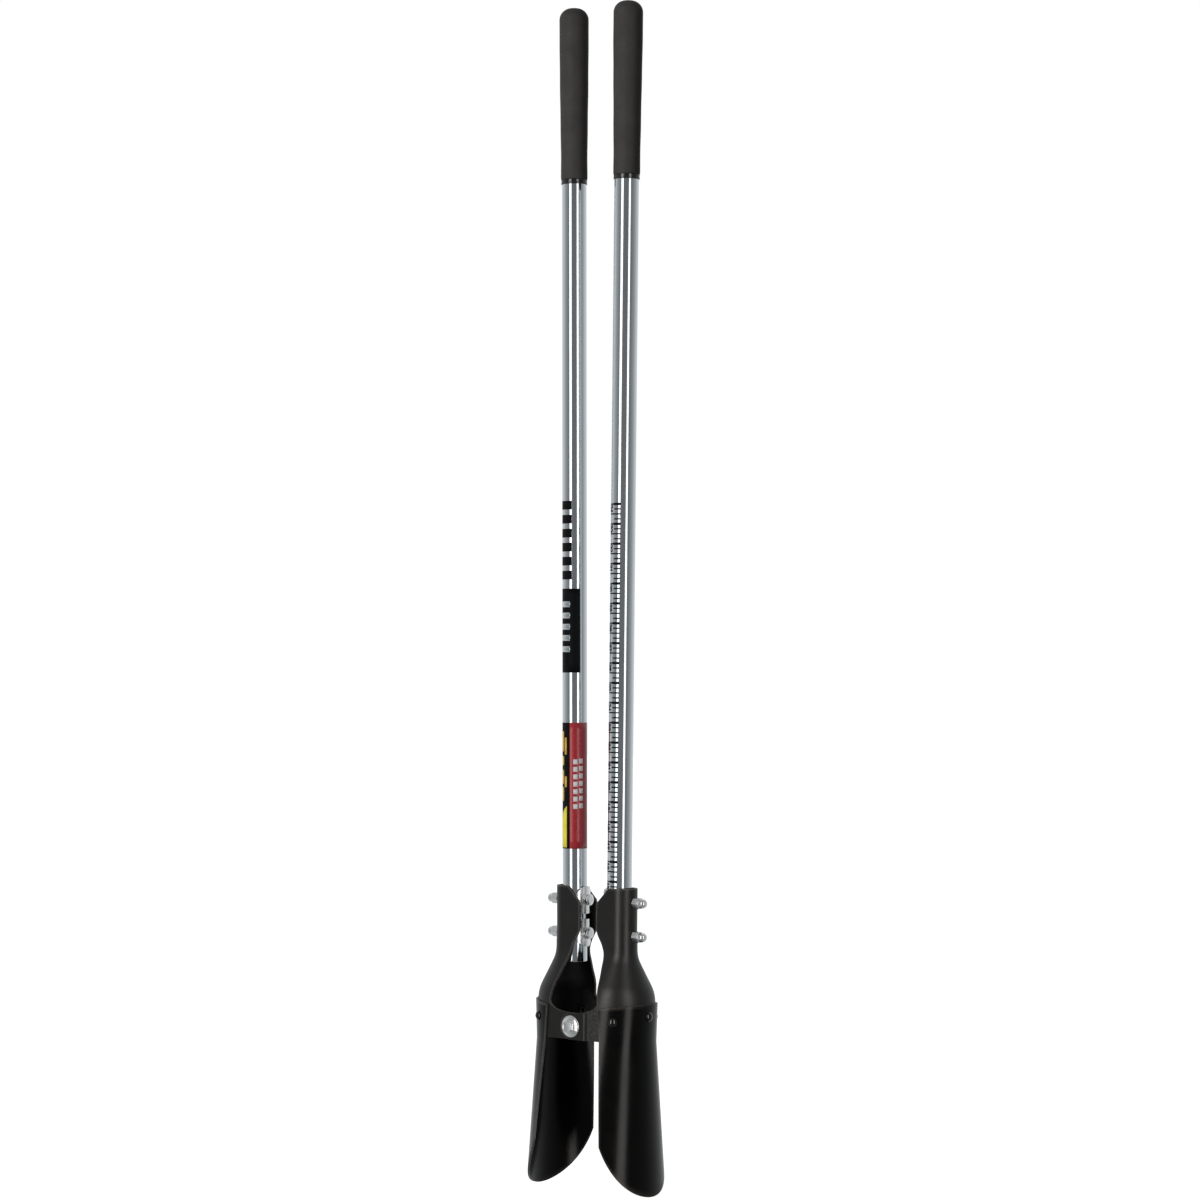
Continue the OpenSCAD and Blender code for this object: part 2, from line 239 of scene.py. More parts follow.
def cut(obj, verts, faces, place):
    """Cuts a solid, given in millimetres, out of a piece's mesh."""
    tool = new_object("cutter", verts, faces, place)
    clean(tool.data)
    modify(obj, "BOOLEAN", object=tool, operation="DIFFERENCE", solver="EXACT")
    bake(obj)
    mesh = tool.data
    bpy.data.objects.remove(tool)
    bpy.data.meshes.remove(mesh)


def rod(radius, low, high, segments=48):
    """Closed cylinder along local Z, as points and faces."""
    return lathe([(0, low), (radius, low), (radius, high), (0, high)], segments)


# ---- materials
class Nodes:
    """Short helper that builds the nodes of a new material, or of a world."""

    def __init__(self, name, world=None):
        self.owner = world or bpy.data.materials.new(name)
        self.owner.use_nodes = True
        self.tree = self.owner.node_tree
        self.shader = self.tree.nodes["Background" if world else "Principled BSDF"]
        self.place = self.add("ShaderNodeTexCoord").outputs["Generated" if world else "Object"]

    def add(self, kind, **values):
        node = self.tree.nodes.new(kind)
        for key, value in values.items():
            setattr(node, key, value)
        return node

    def link(self, out, socket):
        self.tree.links.new(out, socket)

    def put(self, socket, value):
        """Links a socket to an output, or sets it to a value or a colour."""
        if isinstance(value, bpy.types.NodeSocket):
            self.link(value, socket)
        elif socket.type == "RGBA":
            socket.default_value = (*value, 1.0)
        else:
            socket.default_value = value

    def fill(self, node, out, **values):
        """Puts values into a node's sockets and returns its named output."""
        for key, value in values.items():
            self.put(node.inputs[key.replace("_", " ")], value)
        return node.outputs[out]

    def stretched(self, scale):
        """Object coordinates with a different scale along each axis."""
        return self.fill(self.add("ShaderNodeMapping"), "Vector", Scale=scale, Vector=self.place)

    def noise(self, scale, detail=4.0, rough=0.5, vector=None, warp=0.0):
        node = self.add("ShaderNodeTexNoise")
        self.link(vector or self.place, node.inputs["Vector"])
        return self.fill(node, "Fac", Scale=scale, Detail=detail, Roughness=rough, Distortion=warp)

    def cells(self, scale):
        return self.fill(self.add("ShaderNodeTexVoronoi"), "Distance", Scale=scale, Vector=self.place)

    def ramp(self, value, stops):
        """Colour ramp from (place, colour) stops."""
        node = self.add("ShaderNodeValToRGB")
        points = node.color_ramp.elements
        for i, (at, colour) in enumerate(stops):
            point = points[i] if i < 2 else points.new(at)
            point.position = at
            point.color = (*colour, 1.0)
        self.link(value, node.inputs["Fac"])
        return node.outputs["Color"]

    def range(self, value, low, high, start=0.3, end=0.7):
        node = self.add("ShaderNodeMapRange")
        self.fill(node, "Result", From_Min=start, From_Max=end, To_Min=low, To_Max=high)
        return self.fill(node, "Result", Value=value)

    def attribute(self, name):
        return self.add("ShaderNodeAttribute", attribute_name=name).outputs["Fac"]

    def mixed(self, kind, factor, a, b):
        """Mixes two colours (RGBA) or normals (VECTOR); b may be a plain colour."""
        node = self.add("ShaderNodeMix", data_type=kind)
        self.link(factor, node.inputs["Factor"])
        for value, name in ((a, "A"), (b, "B")):
            self.put([s for s in node.inputs if s.type == kind and s.name == name][0], value)
        return [s for s in node.outputs if s.type == kind][0]

    def math(self, how, a, b):
        node = self.add("ShaderNodeMath", operation=how)
        for value, socket in zip((a, b), node.inputs):
            self.put(socket, value)
        return node.outputs["Value"]

    def bump(self, height, distance, strength=1.0, under=None):
        node = self.add("ShaderNodeBump")
        if under:
            self.link(under, node.inputs["Normal"])
        return self.fill(node, "Normal", Strength=strength, Distance=distance, Height=height)

    def set(self, **values):
        """Puts values into the shader's sockets."""
        for key, value in values.items():
            self.put(self.shader.inputs[key.replace("_", " ")], value)
        return self.owner


def black_paint(name, low, high, rough, gloss):
    """Sprayed black enamel: orange peel, dust and rubbed edges."""
    n = Nodes(name)
    cloud = n.noise(28, 5, 0.6, warp=0.6)
    fleck = n.noise(900, 3, 0.6)
    base = n.ramp(cloud, [(0.35, low), (0.7, high)])
    worn = n.math("MULTIPLY", n.attribute("rim"), n.range(fleck, 0.15, 1.0, 0.35, 0.6))
    colour = n.mixed("RGBA", worn, base, (0.075, 0.062, 0.054))
    scuffed = n.math("MULTIPLY", n.attribute("scuff"), n.range(n.noise(420, 6, 0.7), 0, 1, 0.42, 0.6))
    colour = n.mixed("RGBA", scuffed, colour, (0.032, 0.032, 0.032))
    dull = n.math("ADD", n.range(cloud, rough, rough + 0.07), n.math("MULTIPLY", n.attribute("scuff"), 0.25))
    peel = n.bump(n.noise(330, 2, 0.5), 0.00022, 0.16)
    grit = n.bump(n.noise(700, 6, 0.75), 0.0009, 0.6)
    return n.set(
        Base_Color=colour,
        Roughness=dull,
        Normal=n.mixed("VECTOR", n.attribute("scuff"), peel, grit),
        Specular_IOR_Level=gloss,
        Specular_Tint=(1.0, 0.96, 0.93),
    )


def cut_edge():
    """Sheared edge of the sheet: paint thinned over brown-grey steel."""
    n = Nodes("cut_edge")
    streak = n.noise(500, 4, 0.6)
    colour = n.ramp(streak, [(0.3, (0.04, 0.037, 0.035)), (0.7, (0.15, 0.139, 0.132))])
    rough = n.range(streak, 0.35, 0.6)
    return n.set(Base_Color=colour, Roughness=rough, Metallic=0.35, Normal=n.bump(streak, 0.0002, 0.4))


def metal(name, dark, light, rough, grain, bump=0.12, stretch=(1, 1, 1)):
    """Zinc plating: cloudy tint, fine grain and slightly uneven gloss."""
    n = Nodes(name)
    along = n.stretched(stretch)
    cloud = n.noise(60, 4, 0.55, vector=along)
    fine = n.noise(grain, 3, 0.6, vector=along)
    colour = n.ramp(cloud, [(0.3, dark), (0.7, light)])
    gloss = n.range(fine, rough, rough + 0.08)
    return n.set(Base_Color=colour, Roughness=gloss, Metallic=1.0, Normal=n.bump(fine, 0.00006, bump))


def foam():
    """Closed-cell foam: matt charcoal with fine open pores on its skin."""
    n = Nodes("foam")
    pores = n.cells(1500)
    cloud = n.noise(45, 5, 0.6)
    skin = n.noise(2600, 3, 0.6)
    tone = n.math("ADD", n.math("MULTIPLY", cloud, 0.6), n.math("MULTIPLY", skin, 0.4))
    colour = n.ramp(tone, [(0.35, (0.0300, 0.0275, 0.0262)), (0.65, (0.0460, 0.0422, 0.0400))])
    normal = n.bump(pores, 0.0004, 0.12, n.bump(skin, 0.0003, 0.12))
    return n.set(
        Base_Color=colour,
        Roughness=n.range(skin, 0.55, 0.65),
        Normal=normal,
        Specular_IOR_Level=0.12,
    )


def plastic():
    """Moulded glossy black plastic."""
    n = Nodes("gloss_plastic")
    cloud = n.noise(90, 3, 0.5)
    colour = n.ramp(cloud, [(0.3, (0.006, 0.006, 0.006)), (0.7, (0.014, 0.013, 0.013))])
    normal = n.bump(n.noise(500), 0.0001, 0.1)
    return n.set(Base_Color=colour, Roughness=n.range(cloud, 0.12, 0.2), Normal=normal)


def print_film(name, dark, light, rough=0.28, gloss=0.5):
    """Ink or sticker film: slightly mottled, with soft gloss."""
    n = Nodes(name)
    cloud = n.noise(70, 3, 0.5)
    colour = n.ramp(cloud, [(0.3, dark), (0.7, light)])
    dull = n.range(cloud, rough, rough + 0.1)
    normal = n.bump(cloud, 0.00005, 0.2)
    return n.set(Base_Color=colour, Roughness=dull, Specular_IOR_Level=gloss, Normal=normal)


BLADE_PAINT = black_paint("blade_paint", (0.0008, 0.0008, 0.0008), (0.0024, 0.0020, 0.0018), 0.19, 0.15)
FRAME_PAINT = black_paint("frame_paint", (0.0012, 0.0012, 0.0012), (0.0034, 0.0030, 0.0027), 0.38, 0.42)
RIVET_PAINT = black_paint("rivet_paint", (0.0008, 0.0008, 0.0008), (0.0026, 0.0024, 0.0022), 0.12, 0.45)
CUT_EDGE = cut_edge()
TUBE_ZINC = metal("tube_zinc", (0.66, 0.70, 0.72), (0.74, 0.77, 0.79), 0.05, 700, 0.012, (1, 1, 0.06))
BRIGHT_ZINC = metal("bright_zinc", (0.85, 0.85, 0.84), (0.97, 0.97, 0.96), 0.17, 900)
TUBE_BAR = metal("bare_bars", (0.60, 0.64, 0.66), (0.72, 0.75, 0.77), 0.14, 700, 0.08, (1, 1, 0.06))
FOAM = foam()
GLOSS = plastic()
INK = print_film("black_ink", (0.0010, 0.0016, 0.0020), (0.0030, 0.0040, 0.0046), 0.5, 0.14)
RED_FILM = print_film("red_film", (0.50, 0.013, 0.022), (0.54, 0.016, 0.026), 0.22, 0.8)
YELLOW_FILM = print_film("yellow_film", (0.80, 0.66, 0.01), (0.90, 0.78, 0.02), 0.3)
AMBER_FILM = print_film("amber_film", (0.62, 0.36, 0.02), (0.78, 0.48, 0.05), 0.3)
WHITE_FILM = print_film("white_film", (0.92, 0.92, 0.92), (0.97, 0.97, 0.97), 0.3)


# ---- frames
NECK_R = 19.7
NECK_H = 73.5
NECK_FILLET = 35.0
SHOULDER_FILLET = 50.0
SHOULDER_ANGLE = 31.0
FRAME_R = 48.4
FRAME_COLUMNS = 96
# Stretches of the right half's x, or of height above the pivot, over which
# the section goes from the blade's axis to the tube's, and flat ears end
CENTRE_MOVES_Z = (84.0, 108.0)
LEAN_TURNS_Z = (70.0, 112.0)
FLAT_ENDS_X = (27.0, 47.0)
FLAT_ENDS_Z = (20.0, 38.0)
# The rubbed patch beside the stepped ear
SCUFF_START_X = (24.0, 28.0)
SCUFF_END_X = (41.0, 46.0)
SCUFF_END_Z = (17.0, 24.0)
# Rounds needed for a leaning section to settle at its level
SETTLE = 6


def shoulder_line():
    """Outer radius of the frame against height on the blade axis."""
    slope = math.tan(math.radians(SHOULDER_ANGLE))
    corner = NECK_H - NECK_FILLET * math.tan(math.radians(SHOULDER_ANGLE / 2))
    skirt_angle = math.degrees(math.atan(FLARE_TOP))
    meet_h = (corner * slope + NECK_R - FRAME_R) / (slope - FLARE_TOP)
    meet_r = FRAME_R - FLARE_TOP * meet_h
    turn = math.radians(SHOULDER_ANGLE - skirt_angle) / 2
    tangent = SHOULDER_FILLET * math.tan(turn)
    a = math.radians(skirt_angle)
    end = (meet_r + tangent * math.sin(a), meet_h - tangent * math.cos(a))
    centre = (end[0] - SHOULDER_FILLET * math.cos(a), end[1] - SHOULDER_FILLET * math.sin(a))
    line = arc((NECK_R + NECK_FILLET, NECK_H), NECK_FILLET, 180, 180 + SHOULDER_ANGLE, 24)
    line += arc(centre, SHOULDER_FILLET, SHOULDER_ANGLE, skirt_angle, 24)
    return line + [(FRAME_R + FLARE_TOP * 60, -60.0)]


SHOULDER = shoulder_line()


def frame_radius(h):
    """Outer radius of the frame at a height on the blade axis."""
    if h >= NECK_H:
        return mix(NECK_R, SOCKET_R, smooth(NECK_H, NECK_H + 22, h))
    for (r1, h1), (r2, h2) in zip(SHOULDER, SHOULDER[1:]):
        if h1 >= h >= h2:
            return mix(r1, r2, (h1 - h) / (h1 - h2)) if h1 > h2 else r1
    return SHOULDER[-1][0]


def free_edge():
    """Free edge of a frame from the ear's lowest point to the socket's top:
    rows of (x, height above the pivot) and the row's height at the back.
    Each part is an outline, its heights at the back, and its rows."""
    ear = arc((0, 0), EAR_R, 270, 90, 26)
    parts = [
        (ear, -17.0, 15.0, 46),
        (
            [(0, 17), (7, 17.2), (14, 17.7), (21, 18.8), (28.7, 21.2), (34.6, 24.5), (38.0, 28.2)],
            15.0, 30.0, 22,
        ),
        ([(38.0, 28.2), (38.3, 31.5), (37.5, 37), (35.2, 51), (33, 64), (30.5, 75)], 30.0, 76.0, 34),
        ([(30.5, 75), (28.9, 83), (26.8, 93), (22.9, 103.6), (16.2, 114.5), (14.2, 119.5)], 76.0, 119.5, 28),
        ([(14.2, 119.5), (14, 124), (14, 148), (14.2, 153), (15.4, 156.8)], 119.5, 156.0, 14),
        ([(15.4, 156.8), (31.6, 173.2), (33.5, SOCKET_TOP)], 156.0, SOCKET_TOP, 16),
    ]
    rows = []
    for line, low, high, count in parts:
        for i in range(count):
            t = i / count
            rows.append((sample(line, t), mix(low, high, t)))
    rows.append((parts[-1][0][-1], SOCKET_TOP))
    return rows


def centre_line(z):
    """Middle of the frame's round back, as x and lean, at a height above the pivot."""
    x_low = BLADE_AXIS[0] + (z - BLADE_AXIS[1]) * math.tan(BLADE_LEAN)
    x_high = TUBE_X + SOCKET_BACK + z * math.tan(TUBE_LEAN)
    x = mix(x_low, x_high, smooth(*CENTRE_MOVES_Z, z))
    return x, mix(BLADE_LEAN, TUBE_LEAN, smooth(*LEAN_TURNS_Z, z))


def wall_radius(level):
    """Radius of the frame's section at a level of its axis."""
    return frame_radius((level - BLADE_AXIS[1]) / math.cos(BLADE_LEAN))


def edge_reach(x_edge, z_edge):
    """Distance round the section from the middle of the back to the edge."""
    level = z_edge
    for _ in range(SETTLE):
        cx, lean = centre_line(level)
        local_x = (x_edge - cx) / math.cos(lean)
        level = z_edge + local_x * math.sin(lean)
    r = wall_radius(level)
    if local_x > 0:
        return r * math.acos(min(1.0, local_x / r))
    return r * math.pi / 2 - local_x


def frame_point(z_edge, z_back, reach, share, sign):
    """Point on the frame's outer face; share runs from the middle of the
    back, 0, to the free edge, 1, and sign picks the side."""
    z = mix(z_back, z_edge, smooth(0.35, 1.0, share))
    level = z
    for _ in range(SETTLE):
        cx, lean = centre_line(level)
        r = wall_radius(level)
        bend = share * reach / r
        if bend <= math.pi / 2:
            local_x, y = r * math.cos(bend), r * math.sin(bend)
        else:
            local_x, y = r * math.pi / 2 - share * reach, r
        level = z + local_x * math.sin(lean)
    x = cx + local_x * math.cos(lean)
    flat = (1 - smooth(*FLAT_ENDS_X, x)) * (1 - smooth(*FLAT_ENDS_Z, z))
    y = mix(y, EAR_Y, flat)
    if sign < 0 and z < 60:
        y += EAR_STEP * (1 - smooth(*EAR_STEP_X, x))
    return x, sign * y, PIVOT_Z + z


def frame_skin():
    """Grid over the frame's outer face, with its rim and scuff amounts."""
    rows = free_edge()
    verts, rim, scuff = [], [], []
    for (x_edge, z_edge), z_back in rows:
        reach = edge_reach(x_edge, z_edge)
        for j in range(-FRAME_COLUMNS, FRAME_COLUMNS + 1):
            share = abs(j) / FRAME_COLUMNS
            x, y, z = frame_point(z_edge, z_back, reach, share, -1 if j < 0 else 1)
            verts.append((x, y, z))
            near = min(reach * (1 - share), SOCKET_TOP + PIVOT_Z - z)
            rim.append(1 - smooth(0, 2.2, near))
            rough = smooth(*SCUFF_START_X, x) * (1 - smooth(*SCUFF_END_X, x))
            rough *= 1 - smooth(*SCUFF_END_Z, z - PIVOT_Z)
            scuff.append(rough if y < 0 else 0.0)
    return verts, grid_faces(len(rows), 2 * FRAME_COLUMNS + 1), rim, scuff


def set_attribute(obj, name, values):
    """Stores one number per point for the materials."""
    layer = obj.data.attributes.new(name, "FLOAT", "POINT")
    layer.data.foreach_set("value", values)


def plate_piece(name, verts, faces, rim, scuff, body, slot, material, thick, place, hole=None):
    """Turns an outer skin into a plate with rounded, worn free edges."""
    obj = new_object(name, verts, faces, place)
    set_attribute(obj, "rim", rim)
    set_attribute(obj, "scuff", scuff)
    obj.data.materials.append(material)
    obj.data.materials.append(CUT_EDGE)
    obj.data.shade_smooth()
    modify(obj, "SOLIDIFY", thickness=thick * MM, offset=-1, material_offset_rim=1)
    if hole:
        bake(obj)
        tool = rod(hole, -70, 70, 64)
        cut(obj, *tool, Matrix.Translation((0, 0, PIVOT_Z * MM)) @ Matrix.Rotation(math.pi / 2, 4, "X"))
    modify(obj, "BEVEL", width=0.45 * MM, segments=3, limit_method="ANGLE", angle_limit=math.radians(55))
    bake(obj)
    modify(obj, "WEIGHTED_NORMAL", keep_sharp=False)
    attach(obj, body)
    return obj


def make_frame(side):
    """Pressed frame with its socket, shoulder, skirt and drilled ears."""
    body = side + "_half"
    verts, faces, rim, scuff = frame_skin()
    hole_r = PIVOT_R + (PIVOT_CLEARANCE if side == "right" else 0)
    skin = (verts, faces, rim, scuff)
    obj = plate_piece(side + "_shell", *skin, body, "frame_paint", FRAME_PAINT, SHEET, half(side), hole_r)
    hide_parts(side + "_frame")


# ---- blades
BLADE_TOP = ((41.1, 25.2), (110.0, 32.0))
BLADE_CORNER = (53.0, -148.0)
CUT_RADIUS = 215.0


def blade_radius(h):
    """Outer radius of a blade at a height on its axis."""
    if h > FLARE_H:
        return BLADE_R - FLARE_TOP * h
    return BLADE_R - FLARE_TOP * FLARE_H + FLARE_LOW * (FLARE_H - h)


def blade_side_view(h, angle):
    """Side view (x, height above pivot) and y of a point on the outer face."""
    r = blade_radius(h)
    x, y = r * math.cos(angle), r * math.sin(angle)
    c, s = math.cos(BLADE_LEAN), math.sin(BLADE_LEAN)
    return BLADE_AXIS[0] + x * c + h * s, BLADE_AXIS[1] - x * s + h * c, y


def crossing(test, low, high):
    """Height where a rising test changes sign, by halving."""
    for _ in range(50):
        middle = (low + high) / 2
        if test(middle) > 0:
            high = middle
        else:
            low = middle
    return (low + high) / 2


def edge_x(z):
    """The blade's side edge in the side view."""
    (x1, z1), (x2, z2) = BLADE_TOP[0], BLADE_CORNER
    return mix(x1, x2, (z - z1) / (z2 - z1))


def widest_angle(h):
    """Angle of the blade's side edge at a height on its axis."""
    low, high = math.radians(20), math.radians(110)
    for _ in range(40):
        middle = (low + high) / 2
        x, z, _ = blade_side_view(h, middle)
        if x > edge_x(z):
            low = middle
        else:
            high = middle
    return low


def find_tip():
    """Tip of the blade: the middle of its outer face at the ground."""
    h = crossing(lambda h: blade_side_view(h, 0.0)[1] + PIVOT_Z, -300, 0)
    return blade_side_view(h, 0.0)[0], -PIVOT_Z


def cut_arc():
    """Centre of the arc that cuts the blade from its corner to its tip."""
    tip = Vector(find_tip())
    corner = Vector(BLADE_CORNER)
    chord = tip - corner
    reach = chord.length / 2
    sag = math.sqrt(CUT_RADIUS ** 2 - reach ** 2)
    across = Vector((-chord.y, chord.x)) / chord.length
    return (tip + corner) / 2 + sag * across


ARC_CENTRE = cut_arc()
BLADE_COLUMNS = 40
BLADE_ROWS = 90


def make_blade(side):
    """Flared blade with its slanting cut, as a bevelled plate."""
    columns = []
    (x1, z1), (x2, z2) = BLADE_TOP
    for j in range(-BLADE_COLUMNS, BLADE_COLUMNS + 1):
        share = j / BLADE_COLUMNS

        def at(h):
            return blade_side_view(h, share * widest_angle(h))

        def below_top(h):
            x, z, _ = at(h)
            return z - mix(z1, z2, (x - x1) / (x2 - x1))

        def inside_cut(h):
            x, z, _ = at(h)
            return CUT_RADIUS - math.dist((x, z), ARC_CENTRE)

        top = crossing(below_top, -60, 40)
        low = crossing(inside_cut, -280, -60)
        line = []
        for i in range(BLADE_ROWS + 1):
            x, z, y = at(mix(top, low, i / BLADE_ROWS))
            line.append((x, y, PIVOT_Z + z))
        columns.append(line)
    wide = len(columns)
    verts, rim = [], []
    for i in range(BLADE_ROWS + 1):
        for j in range(wide):
            verts.append(columns[j][i])
            edge = min(j, wide - 1 - j)
            low_edge = (BLADE_ROWS - i) / BLADE_ROWS
            worn_top = 1 - smooth(0, 0.02, 1 - low_edge)
            worn_low = 1 - smooth(0, 0.035, low_edge)
            rim.append(max(1 - smooth(0, 1.4, edge), worn_low, worn_top))
    faces = [tuple(reversed(f)) for f in grid_faces(BLADE_ROWS + 1, wide)]
    skin = (verts, faces, rim, [0.0] * len(verts))
    obj = plate_piece(side + "_scoop", *skin, side + "_half", "blade_paint", BLADE_PAINT, SHEET, half(side))
    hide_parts(side + "_blade")


# ---- tubes and grips
def make_tube(side):
    """Steel tube, open at both ends, with softened rims."""
    inner = TUBE_R - TUBE_WALL
    low, high = TUBE_START, TUBE_END
    steps = 40
    outer = [(TUBE_R, mix(low + 0.5, high - 0.5, i / steps)) for i in range(steps + 1)]
    bore = [(inner, mix(high - 0.5, low + 0.5, i / steps)) for i in range(steps + 1)]
    top = [(TUBE_R - 0.15, high - 0.1), (TUBE_R - 0.5, high), (inner + 0.5, high), (inner + 0.15, high - 0.1)]
    base = [(inner + 0.15, low + 0.1), (inner + 0.5, low), (TUBE_R - 0.5, low), (TUBE_R - 0.15, low + 0.1)]
    verts, faces = lathe(outer + top + bore + base, 128, closed=True)
    obj = make_object(side + "_pipe", verts, faces, side + "_half", TUBE_ZINC, on_tube(side))
    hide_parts(side + "_tube")


def grip_radius(h):
    """Foam radius at a distance above the grip's lower end."""
    body = mix(GRIP_END_R, GRIP_TOP_R, smooth(8, 178, h))
    return body - 0.35 * (1 - smooth(0, 2.0, h))


def make_grip(side):
    """Foam sleeve with a domed end, softly uneven along its length."""
    length = GRIP_LENGTH
    dome_start = length - GRIP_ROUND
    phase = 0.7 if side == "left" else 2.1
    steps = 110
    profile = [(TUBE_R, 0.35), (16.3, 0.0), (16.9, 0.15)]
    profile += [(grip_radius(h), h) for h in (mix(0.9, dome_start, i / steps) for i in range(steps + 1))]
    dome = arc((GRIP_TOP_R - GRIP_ROUND, dome_start), GRIP_ROUND, 0, 90, 20)[1:]
    profile += dome + [(3.0, length - 0.06), (1.5, length - 0.02), (0.0, length)]
    cap = length - GRIP_CAP
    profile += [(0.0, cap), (TUBE_R - 0.6, cap), (TUBE_R, cap - 0.6)]

    def uneven(r, h, a):
        """Small hand-worn waves, zero where the foam meets the tube."""
        if r < 16.5 or h > dome_start:
            return r
        fade = smooth(2, 30, h) * (1 - smooth(dome_start - 40, dome_start, h))
        wave = math.sin(h / 21 + phase) * math.cos(a * 2 + phase) + math.sin(h / 9 + 2 * a)
        return r + 0.09 * fade * wave - 0.12 * fade

    verts, faces = lathe(profile, 96, closed=True, radius=uneven)
    place = on_tube(side, GRIP_START)
    obj = make_object(side + "_handgrip", verts, faces, side + "_half", FOAM, place)
    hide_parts(side + "_grip")


def make_collar(side):
    """Moulded ring under a grip, with a shallow groove round it."""
    groove_r = COLLAR_R - 0.25
    line = [
        (TUBE_R, 0.0), (COLLAR_R - 0.55, 0.0), (COLLAR_R, 0.8), (COLLAR_R, 2.2),
        (groove_r, 2.6), (groove_r, COLLAR_H - 0.9), (COLLAR_R, COLLAR_H - 0.5),
        (COLLAR_R - 0.5, COLLAR_H), (TUBE_R, COLLAR_H),
    ]
    line = rounded(line, 0.35, 3)
    verts, faces = lathe(line, 96, closed=True)
    place = on_tube(side, GRIP_START - COLLAR_H)
    obj = make_object(side + "_ring", verts, faces, side + "_half", GLOSS, place)
    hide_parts(side + "_collar")


# ---- clamps
SADDLE_T = 2.2
SADDLE_LOBE = 13.5
SADDLE_TAIL = 8.2
SADDLE_LENGTH = 35.5
SADDLE_LOBE_AT = 4.0
SADDLE_HIGH = SADDLE_LOBE_AT + SADDLE_LOBE
SADDLE_LOW = SADDLE_HIGH - SADDLE_LENGTH
THREAD_PITCH = 1.25
THREAD_DEPTH = 0.55
CLAMP_R = 4.0
CLAMP_HEAD_R = 7.75
CLAMP_HEAD_H = 8.0
CLAMP_NUT_AF = 14.0
CLAMP_NUT_H = 10.0
CLAMP_DOME_R = 6.2
CLAMP_DOME_H = 9.0
CLAMP_CAP = 2.5


def saddle_half_width(v):
    """Half width of a saddle at v, measured along the tube from the bolt."""
    off = v - SADDLE_LOBE_AT
    lobe = 0.0
    if abs(off) < SADDLE_LOBE:
        lobe = math.sqrt(SADDLE_LOBE ** 2 - off ** 2)
    tail = 0.0
    if off <= 0:
        corner = 1 - smooth(0, 3.2, v - SADDLE_LOW)
        tail = SADDLE_TAIL - 2.2 * (1 - math.sqrt(max(0, 1 - corner ** 2)))
    return max(lobe, tail, 0.4)


def make_saddle(side, name, height, up):
    """Plate bent round the tube, with a round lobe and a straight tail."""
    low, high = SADDLE_LOW, SADDLE_HIGH
    rows, columns = 56, 28
    r = TUBE_R + SADDLE_T
    verts = []
    for i in range(rows + 1):
        v = mix(low, high - 0.02, i / rows)
        if i > rows * 0.6:
            t = (i - rows * 0.6) / (rows * 0.4)
            v = mix(low + (high - low) * 0.6, high - 0.02, math.sin(t * math.pi / 2))
        width = saddle_half_width(v)
        for j in range(columns + 1):
            y = width * mix(-1, 1, j / columns)
            a = math.asin(max(-0.999, min(0.999, y / (r + 0.01))))
            verts.append((-r * math.cos(a), y, up * v))
    faces = grid_faces(rows + 1, columns + 1)
    if up < 0:
        faces = [tuple(reversed(f)) for f in faces]
    obj = new_object(name, verts, faces, on_tube(side, height))
    obj.data.shade_smooth()
    obj.data.materials.append(BRIGHT_ZINC)
    modify(obj, "SOLIDIFY", thickness=(SADDLE_T - 0.02) * MM, offset=-1, use_even_offset=True)
    modify(obj, "BEVEL", width=0.35 * MM, segments=3, limit_method="ANGLE", angle_limit=math.radians(50))
    modify(obj, "WEIGHTED_NORMAL")
    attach(obj, side + "_half")
    return obj


def thread_radius(crest):
    """Radius of a helical thread at a height and angle."""

    def radius(r, h, a):
        if abs(r - crest) > 0.01:
            return r
        turn = (h / THREAD_PITCH - a / (2 * math.pi)) % 1.0
        return mix(crest - THREAD_DEPTH, crest, min(1.0, 2.4 * abs(turn - 0.5)))

    return radius


def threaded(low, high, crest):
    """Profile points of a threaded stretch."""
    steps = max(8, int((high - low) / THREAD_PITCH * 8))
    return [(crest, mix(low, high, i / steps)) for i in range(steps + 1)]


def make_clamp_bolt(side, name, height):
    """Round-headed bolt across the tube, threaded where it leaves the nut."""
    shank, head = CLAMP_R, CLAMP_HEAD_R
    seat = -TUBE_R - SADDLE_T
    top = seat - CLAMP_HEAD_H
    tip = SOCKET_OUTER_X + CLAMP_NUT_H + CLAMP_DOME_H - CLAMP_CAP - 0.05
    button = [
        (0, top), (4.6, top), (head - 0.3, top + 0.7), (head, seat - 4.4), (head - 0.5, seat - 3.4),
        (head - 2.2, seat - 3.0), (head - 2.2, seat), (shank, seat),
    ]
    line = rounded(button, 0.6, 4)
    line += [(shank, seat + 1), (shank, SOCKET_OUTER_X - 1)]
    line += threaded(SOCKET_OUTER_X - 0.5, tip - 1.6, shank)
    line += [(shank - 0.5, tip - 1.0), (shank - 1.3, tip - 0.3), (shank - 2.2, tip), (0, tip)]
    verts, faces = lathe(line, 48, radius=thread_radius(shank))
    place = on_tube(side, height) @ Matrix.Rotation(math.pi / 2, 4, "Y")
    obj = make_object(name, verts, faces, side + "_half", BRIGHT_ZINC, place)
    modify(obj, "BEVEL", width=0.15 * MM, segments=2, limit_method="ANGLE", angle_limit=math.radians(60))
    return obj


def hex_radius(flat, cone_low, cone_high, height):
    """Radius of a hexagon whose corners are rounded off by two cones."""

    def radius(r, h, a):
        if r < flat / 2 - 0.01:
            return r
        sector = (a + math.pi / 6) % (math.pi / 3) - math.pi / 6
        side = flat / 2 / math.cos(sector)
        limit = flat / 2 * 1.2
        if cone_low:
            limit = min(limit, flat / 2 * 0.985 + h * 1.6)
        if cone_high:
            limit = min(limit, flat / 2 * 0.985 + (height - h) * 1.6)
        return min(side, limit)

    return radius


